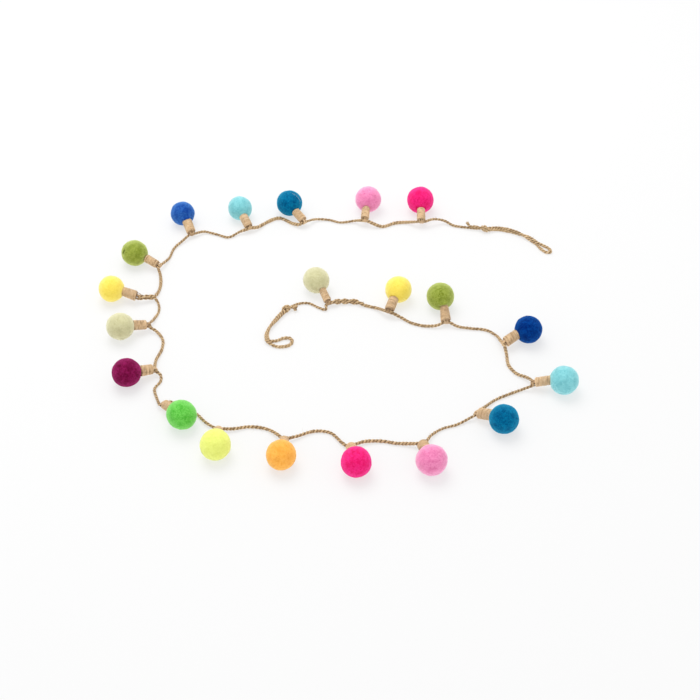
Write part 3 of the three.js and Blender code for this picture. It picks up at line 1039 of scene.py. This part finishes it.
class NeckShape:
    """Where a neck's winding starts and ends, and how wide and how far aside it is at the two."""

    def __init__(self, bulb, jute):
        widths, self.asides, further, self.tone, self.end_tone_and_shade = NECK_LOOKS[bulb.seed - 1]
        self.wide = NECK_RADIUS * np.array(widths) - jute.yarn_width / 2
        seat = bulb.reach + jute.yarn_width * 0.3
        self.start = (seat**2 - (self.wide[0] + abs(self.asides[0])) ** 2) ** 0.5
        self.end = bulb.neck_end + further - jute.yarn_width / 2

    def middle(self, bulb, share):
        """The point on the neck's middle line at each share of the way out."""
        share = np.asarray(share)[..., None]
        aside = self.asides[0] + (self.asides[1] - self.asides[0]) * share
        out = self.start + (self.end - self.start) * share
        return bulb.centre + bulb.axis * out + bulb.across * aside


def winding_line(bulb, shape, jute, rng):
    """The yarn's line: turn beside turn round the neck, then in across its outer end."""
    turns = round((shape.end - shape.start) / jute.yarn_pitch)
    done = np.arange(int((turns + CLOSING_TURNS) * YARN_STEPS) + 1) / YARN_STEPS
    inward = np.clip(done - turns, 0, CLOSING_TURNS) / CLOSING_TURNS
    share = np.clip(done / turns, 0, 1)
    reach = (shape.wide[0] + (shape.wide[1] - shape.wide[0]) * share) * (1 - 0.85 * inward)
    reach += 0.00012 * wander(done, 1.7, rng)
    angle = 2 * np.pi * (done + rng.uniform())
    outward = np.cos(angle)[:, None] * bulb.across + np.sin(angle)[:, None] * bulb.under
    line = shape.middle(bulb, share) + outward * reach[:, None]
    uneven = 0.00013 * wander(done, 3.7, rng) + 0.00008 * wander(done, 0.9, rng)
    line += bulb.axis * uneven[:, None]
    blotches = 1.73 * evened(rng.standard_normal(len(done)), 3)
    stripes = 3.9 * evened(rng.standard_normal(len(done)), 15)
    # The closing turns fade to the outer end's tone, which is partly painted shade of the recess
    # behind the twine
    shade = shape.tone + (shape.end_tone_and_shade - shape.tone) * inward**0.25
    shade += 0.15 * blotches + 0.05 * stripes
    return line, outward, shade


STEM_SIDES = 20
STEM_SEAT = 0.0006  # how far the stem goes down past the winding's start
STEM_INSET = 0.0003  # from the yarn's middle line in to the stem


def neck_core(bulb, shape):
    """The plain stem under the winding."""
    stem = bmesh.new()
    foot, top = shape.middle(bulb, [0.0, 1.0])
    foot = foot - bulb.axis * STEM_SEAT
    radius = shape.wide.min() - STEM_INSET
    bmesh.ops.create_cone(
        stem, cap_ends=True, segments=STEM_SIDES, radius1=radius, radius2=radius,
        depth=np.linalg.norm(top - foot),
    )
    rims = [edge for edge in stem.edges if abs(edge.verts[0].co.z - edge.verts[1].co.z) < 1e-6]
    bmesh.ops.bevel(
        stem, geom=rims, offset=0.0005, affect="EDGES", segments=2, profile=0.5, material=-1
    )
    turn = Vector((0, 0, 1)).rotation_difference(Vector(top - foot)).to_matrix()
    bmesh.ops.rotate(stem, verts=stem.verts, cent=(0, 0, 0), matrix=turn)
    bmesh.ops.translate(stem, verts=stem.verts, vec=(foot + top) / 2)
    return stem


# Felt balls

PRESS_FROM = 0.915  # the felt is pressed in under the neck, from this cosine off its line
PRESS_DEPTH = 0.0004
BALL_DIVISIONS = 6
MAP_REACH = 0.285  # a disc's radius on the ball's bake map, and
MAP_MIDDLES = (0.29, 0.71)  # where the two discs are, on its diagonal


def fold_share(bulb, spot, fold):
    """How much of a fold there is in a direction, from 0 to 1."""
    middle, way, half, width, _ = fold
    middle, way = Vector(middle).normalized(), Vector(way).normalized()
    from_middle = (spot - middle) * bulb.radius
    lengthwise = from_middle.dot(way)
    aside = (from_middle - way * lengthwise).length
    return np.exp(-((aside / width) ** 2) - (lengthwise / half) ** 4)


def felt_reach(bulb, direction, wool):
    """How far a ball's felt reaches from its middle, in a direction."""
    spot = Vector(direction)
    seed = Vector((bulb.seed * 7.3, bulb.seed * -3.1, bulb.seed * 1.7))
    lengthwise = spot.dot(Vector(bulb.heading))
    long = bulb.reach / bulb.radius
    reach = bulb.radius / (1 + lengthwise**2 * (1 / long**2 - 1)) ** 0.5
    lumps = noise.noise(spot * 1.7 + seed) + 0.4 * noise.noise(spot * 4.3 + seed)
    reach *= 1 + wool.lumps * lumps
    reach += wool.relief * noise.fractal(spot * 15.0 + seed, 0.7, 2.1, 3)
    press = max(0.0, spot.dot(Vector(bulb.axis)) - PRESS_FROM) / (1 - PRESS_FROM)
    reach -= PRESS_DEPTH * min(1.0, press * 2)
    for fold in FOLDS.get(bulb.number, ()):
        reach += fold[-1] * fold_share(bulb, spot, fold)
    return reach


def lay_flat(points):
    """Presses what is below the floor up to it, with a soft edge."""
    soft = 0.0005
    low = points[..., 2] < soft
    points[..., 2] = np.where(low, soft * np.exp(points[..., 2] / soft - 1), points[..., 2])
    return points


def ball_map(direction, upper):
    """Where a direction lies on the ball's bake map: one disc for each half of the ball."""
    height = direction[2] if upper else -direction[2]
    flat = np.hypot(direction[0], direction[1])
    reach = MAP_REACH * (max(0.0, 1 - height)) ** 0.5 / max(flat, 1e-9)
    middle = MAP_MIDDLES[0] if upper else MAP_MIDDLES[1]
    return middle + direction[0] * reach, middle + direction[1] * reach


def ball_body(bulb, wool):
    """The ball itself, with its lumps, its fine relief and the flat spot that it lies on."""
    body = bmesh.new()
    bmesh.ops.create_icosphere(body, subdivisions=BALL_DIVISIONS, radius=1.0)
    directions = np.array([vert.co for vert in body.verts])
    reaches = np.array([felt_reach(bulb, direction, wool) for direction in directions])
    points = lay_flat(bulb.centre + directions * reaches[:, None])
    layer = body.loops.layers.uv.new("OFBake")
    shade = body.verts.layers.float.new("shade")
    for face in body.faces:
        upper = face.calc_center_median().z > 0
        for loop in face.loops:
            loop[layer].uv = ball_map(loop.vert.co, upper)
    # A crease's bottom gets a shade below 0: painted shade, which the felt material darkens it with
    creases = [fold for fold in FOLDS.get(bulb.number, ()) if fold[-1] < 0]
    for vert, direction, point in zip(body.verts, directions, points):
        dark = sum(fold_share(bulb, Vector(direction), fold) for fold in creases)
        vert[shade] = 0.5 - CREASE_PAINTED_SHADE * dark
        vert.co = point
    return body


FIBRE_TAPER = np.array((0.5, 0.9, 1.0, 1.0, 0.85, 0.4))  # a fibre's width at its points
FIBRE_SINK = 0.00003  # how far a fibre's ends go into the felt
LOOSE_SHARE = 0.16  # of the fibres have an end that stands off the ball
CLEAR_OF_NECK = 0.93  # fibres stay this cosine off the neck's line
FIBRE_ROWS = 26
FIBRE_MAP = ((0.61, 0.01), (0.995, 0.40))


def fibre_starts(bulb, count, rng):
    """Where a ball's fibres start, which way they head, their curl, stride and shade."""
    spot = unit(rng.normal(0, 1, (count, 3)))
    heading = unit(np.cross(spot, rng.normal(0, 1, (count, 3))))
    curl = rng.normal(0, 0.45, (count, 1))
    stride = rng.uniform(0.035, 0.085, (count, 1))
    shades = rng.normal(0.55, 0.24, count).clip(0, 1)
    for first, last in STREAKS.get(bulb.number, ()):
        first, last = unit(np.array(first)), unit(np.array(last))
        few = STREAK_FIBRES
        share = np.linspace(0, 0.85, few)[:, None]
        spot[:few] = unit(first + (last - first) * share + rng.normal(0, 0.015, (few, 3)))
        heading[:few] = unit(last - first + rng.normal(0, 0.08, (few, 3)))
        curl[:few] *= 0.2
        shades[:few] = 2.0
        spot, heading = np.roll(spot, few, 0), np.roll(heading, few, 0)
        curl, shades = np.roll(curl, few, 0), np.roll(shades, few)
    return spot, heading, curl, stride, shades


def fibre_ways(spot, heading, curl, stride, rng):
    """Each fibre's way over the ball, as directions from the ball's middle."""
    way = []
    for _ in FIBRE_TAPER:
        way.append(spot)
        curl = curl + rng.normal(0, 0.25, curl.shape)
        heading = unit(heading + np.cross(spot, heading) * curl * 0.45)
        spot = unit(spot + heading * stride)
        heading = unit(heading - spot * (heading * spot).sum(axis=1, keepdims=True))
    return np.stack(way, axis=1)


def ball_fibres(bulb, wool, rng):
    """Loose fibres that lie matted on the ball, some with an end that stands off it."""
    count = wool.fibres
    *starts, shades = fibre_starts(bulb, count, rng)
    way = fibre_ways(*starts, rng)
    share = np.linspace(0, 1, len(FIBRE_TAPER))
    lift = np.sin(np.pi * share) * rng.uniform(0.00003, 0.00016, (count, 1))
    loose = rng.random(count) < LOOSE_SHARE
    lift[loose] = (share**2 * rng.uniform(0.0002, 0.0009, (count, 1)))[loose]
    reach = np.array([[felt_reach(bulb, spot, wool) for spot in fibre] for fibre in way])
    line = lay_flat(bulb.centre + way * (reach + lift - FIBRE_SINK)[..., None])
    clear = ((way @ bulb.axis) < CLEAR_OF_NECK).all(axis=1)
    radius = wool.fibre_width / 2 * FIBRE_TAPER * rng.uniform(0.75, 1.25, (count, 1))
    rings = rings_round(line, way, radius, HAIR_SIDES)
    strands = Strands()
    for fibre, shade in zip(rings[clear], shades[clear]):
        strands.add(fibre, shade)
    return strands.mesh("fibres", FIBRE_MAP, FIBRE_ROWS)


# Operators, one for the stage and one for each kind of piece

LOOKED_AT = (0.022, -0.053, 0.015)
FLOOR_HALF = 6.0
FLOOR_DIMMING = 0.35  # the share of the floor's light that the camera doesn't see
SOFTBOX_SIZE = 1.6
SOFTBOX_PLACE = (-0.35, 0.75, 1.9)
TWINE_ROWS, STRAY_ROWS, NECK_ROWS, KNOT_ROWS = 28, 40, 14, 6  # of their bake maps


class GARLAND_OT_stage(bpy.types.Operator):
    """Set up the pale floor, the soft light and the camera"""

    bl_idname = "garland.stage"
    bl_label = "Stage"

    def execute(self, context):
        stage = context.scene.garland_stage
        self.add_camera(context, stage)
        self.add_floor(context, stage)
        self.add_light(context, stage)
        context.scene.view_settings.view_transform = "Standard"
        return {"FINISHED"}

    def add_camera(self, context, stage):
        lens = bpy.data.cameras.new("camera")
        lens.lens = stage.lens
        lens.clip_end = 50.0
        camera = bpy.data.objects.new("camera", lens)
        context.scene.collection.objects.link(camera)
        ahead = Vector((0.0, np.cos(stage.elevation), -np.sin(stage.elevation)))
        camera.location = Vector(LOOKED_AT) - ahead * stage.distance
        camera.rotation_euler = (np.pi / 2 - stage.elevation, 0.0, 0.0)
        context.scene.camera = camera

    def add_floor(self, context, stage):
        ground = bmesh.new()
        bmesh.ops.create_grid(ground, x_segments=8, y_segments=8, size=FLOOR_HALF)
        mesh = bpy.data.meshes.new("floor")
        ground.to_mesh(mesh)
        ground.free()
        material, tree, shader = bare_material("pale floor")
        places = add_node(tree, "ShaderNodeTexCoord").outputs["Object"]
        cloudy = noise_at(tree, places, 3.0, detail=2.0)
        paler = (*(0.99 * np.array(stage.floor)), 1.0)
        colour = blend(tree, cloudy, (*stage.floor, 1.0), paler)
        tree.links.new(colour, shader.inputs["Base Color"])
        set_inputs(shader, {
            "Roughness": 0.9, "Specular IOR Level": 0.1, "Emission Color": (1.0, 1.0, 1.0, 1.0),
        })
        seen = add_node(tree, "ShaderNodeLightPath").outputs["Is Camera Ray"]
        light = stage.table_light
        glow = maths(tree, "MULTIPLY_ADD", seen, -FLOOR_DIMMING * light, light)
        tree.links.new(glow, shader.inputs["Emission Strength"])
        mesh.materials.append(material)
        floor = bpy.data.objects.new("floor", mesh)
        context.scene.collection.objects.link(floor)

    def add_light(self, context, stage):
        world = bpy.data.worlds.new("surround")
        world.use_nodes = True
        background = world.node_tree.nodes["Background"]
        set_inputs(background, {"Color": (1.0, 1.0, 1.0, 1.0), "Strength": stage.surround})
        context.scene.world = world
        softbox = bpy.data.lights.new("softbox", "AREA")
        softbox.energy = stage.softbox
        softbox.shape = "DISK"
        softbox.size = SOFTBOX_SIZE
        lamp = bpy.data.objects.new("softbox", softbox)
        lamp.location = SOFTBOX_PLACE
        lamp.rotation_euler = (-Vector(lamp.location)).to_track_quat("-Z", "Y").to_euler()
        context.scene.collection.objects.link(lamp)


class GARLAND_OT_twine(bpy.types.Operator):
    """Lay the jute twine with its knots, splice and stray fibres"""

    bl_idname = "garland.twine"
    bl_label = "Twine"

    def execute(self, context):
        jute = context.scene.garland_jute
        rng = np.random.default_rng(TWINE_SEED)
        line, fullness = twine_and_fullness()
        material = twine_material(jute)
        plies = Strands()
        looped = on_end_loops(line)
        # On the end loops the jute is paler, with less painted shade between the plies
        lay_twine(
            plies, line, jute.thickness * fullness, jute.twist, rng,
            pale=0.12 * looped, painted_groove_shade=1 - 0.3 * looped,
        )
        mesh = plies.mesh("jute_twine", WHOLE_MAP, TWINE_ROWS)
        twine = put("jute_twine", mesh, material, ["twine"])
        knots = [
            self.tie_knot(name, end, jute, rng)
            for name, end in (("end_knot_a", END_A), ("end_knot_b", END_B))
        ]
        splice = self.lay_splice(jute, rng)
        strays = Strands()
        scatter_strays(strays, line, jute.strays, rng)
        fray(strays, line[0], line[0] - line[3], rng)
        fray(strays, line[-1], line[-1] - line[-4], rng)
        mesh = strays.mesh("stray_fibres", WHOLE_MAP, STRAY_ROWS)
        loose = put("stray_fibres", mesh, material)
        return {"FINISHED"}

    def tie_knot(self, name, end, jute, rng):
        strands = Strands()
        line = knot_line(end)
        thickness = jute.thickness * KNOT_THICKNESS
        # The knots' plies get half the usual painted shade between them
        lay_twine(strands, line, thickness, jute.twist, rng, pale=0.2, painted_groove_shade=0.5)
        scatter_strays(strands, line, 24, rng, reach=(0.001, 0.004))
        mesh = strands.mesh(name, WHOLE_MAP, KNOT_ROWS)
        return put(name, mesh, twine_material(jute))

    def lay_splice(self, jute, rng):
        strands = Strands()
        bulb = BULBS[SPLICE_BULB - 1]
        points = splice_strands(bulb)[1]
        line = twine_line([*points, bulb.tie - bulb.under * 0.0006])
        lay_twine(strands, line, jute.thickness * SPLICE_THICKNESS, jute.twist, rng, turn=0.25)
        scatter_strays(strands, line, 30, rng, reach=(0.001, 0.005))
        fray(strands, line[0], line[0] - line[3], rng, count=40)
        mesh = strands.mesh("spliced_twine", WHOLE_MAP, KNOT_ROWS)
        return put("spliced_twine", mesh, twine_material(jute))


class GARLAND_OT_necks(bpy.types.Operator):
    """Wind each neck with jute yarn and hitch it to the twine"""

    bl_idname = "garland.necks"
    bl_label = "Necks"

    def execute(self, context):
        jute = context.scene.garland_jute
        for bulb in BULBS:
            self.wind_neck(bulb, jute)
        return {"FINISHED"}

    def wind_neck(self, bulb, jute):
        rng = np.random.default_rng(NECK_SEED + bulb.seed)
        strands = Strands()
        shape = NeckShape(bulb, jute)
        line, outward, shade = winding_line(bulb, shape, jute, rng)
        along = lengths_along(line)
        radius = jute.yarn_width / 2 * (1 + 0.07 * wander(along, 0.012, rng))
        radius = radius[:, None] * (1 + 0.03 * rng.standard_normal((len(line), YARN_SIDES)))
        theta = 2 * np.pi * np.arange(YARN_SIDES) / YARN_SIDES
        # The yarn's side that lies against the stem gets painted shade
        strands.add(
            rings_round(line, outward, radius, YARN_SIDES), shade=shade.clip(0, 1),
            inner=np.clip(0.35 - np.cos(theta) * 0.65, 0, 1) ** 1.5,
        )
        for loop in hitch_lines(bulb, rng):
            lean = np.broadcast_to(bulb.across, loop.shape)
            radius = HITCH_RADIUS * (1 + 0.15 * wander(lengths_along(loop), 0.004, rng))
            # The hitch loops take the outer end's tone, partly painted shade
            shade = shape.end_tone_and_shade + rng.uniform(-0.15, 0.2)
            strands.add(rings_round(loop, lean, radius, HITCH_SIDES), shade=shade)
        self.add_fuzz(strands, line, outward, rng)
        mesh = strands.mesh(f"neck_{bulb.number}", WHOLE_MAP, NECK_ROWS)
        whole = bmesh.new()
        whole.from_mesh(mesh)
        stem = neck_core(bulb, shape)
        core = bpy.data.meshes.new("core")
        stem.to_mesh(core)
        stem.free()
        whole.from_mesh(core)
        whole.to_mesh(mesh)
        whole.free()
        mesh.shade_smooth()
        put(f"wound_neck_{bulb.number}", mesh, yarn_material(jute), [bulb.neck_node])

    def add_fuzz(self, strands, line, outward, rng, count=46):
        """Short yarn fibres that stand off the winding."""
        at = rng.integers(4, len(line) - CLOSING_TURNS * YARN_STEPS, count)
        along = unit(np.gradient(line, axis=0))[at]
        ways = along * rng.choice((-1.0, 1.0), count)[:, None]
        ways = ways + outward[at] * rng.uniform(0.1, 0.7, count)[:, None]
        roots = line[at] + outward[at] * 0.00055
        lengths = rng.uniform(0.0008, 0.0028, count)
        shades = rng.uniform(0.4, 0.9, count)
        add_hairs(strands, roots, ways, outward[at], lengths, 0.00007, rng, shades)


class GARLAND_OT_balls(bpy.types.Operator):
    """Felt each ball from its dyed wool"""

    bl_idname = "garland.balls"
    bl_label = "Balls"

    def execute(self, context):
        wool = context.scene.garland_wool
        for bulb in BULBS:
            self.felt_ball(bulb, wool)
        return {"FINISHED"}

    def felt_ball(self, bulb, wool):
        rng = np.random.default_rng(BALL_SEED + bulb.seed)
        body = ball_body(bulb, wool)
        body.from_mesh(ball_fibres(bulb, wool, rng))
        name = f"felt_{bulb.number}_{bulb.colour}"
        mesh = bpy.data.meshes.new(name)
        body.to_mesh(mesh)
        body.free()
        mesh.shade_smooth()
        material = felt_material(bulb.colour, getattr(wool, bulb.colour))
        put(name, mesh, material, [bulb.ball_node])


class GARLAND_PT_maker(bpy.types.Panel):
    """The garland's settings and the steps that make it"""

    bl_label = "Felted Ball Garland"
    bl_idname = "GARLAND_PT_maker"
    bl_space_type = "VIEW_3D"
    bl_region_type = "UI"
    bl_category = "Garland"

    def draw(self, context):
        layout = self.layout
        for step in STEPS:
            layout.operator(step.bl_idname)
        for owner in ("garland_wool", "garland_jute", "garland_stage"):
            settings = getattr(context.scene, owner)
            column = layout.column()
            for name in settings.__annotations__:
                column.prop(settings, name)


SETTINGS = {
    "garland_wool": GarlandWool,
    "garland_jute": GarlandJute,
    "garland_stage": GarlandStage,
}
STEPS = [GARLAND_OT_stage, GARLAND_OT_twine, GARLAND_OT_necks, GARLAND_OT_balls]


def register():
    for made in (*SETTINGS.values(), *STEPS, GARLAND_PT_maker):
        bpy.utils.register_class(made)
    for name, settings in SETTINGS.items():
        setattr(bpy.types.Scene, name, PointerProperty(type=settings))


def unregister():
    for name in SETTINGS:
        delattr(bpy.types.Scene, name)
    for made in (GARLAND_PT_maker, *reversed(STEPS), *reversed(SETTINGS.values())):
        bpy.utils.unregister_class(made)


def main():
    register()
    bpy.ops.garland.stage()
    bpy.ops.garland.twine()
    bpy.ops.garland.necks()
    bpy.ops.garland.balls()


if __name__ == "__main__":
    main()
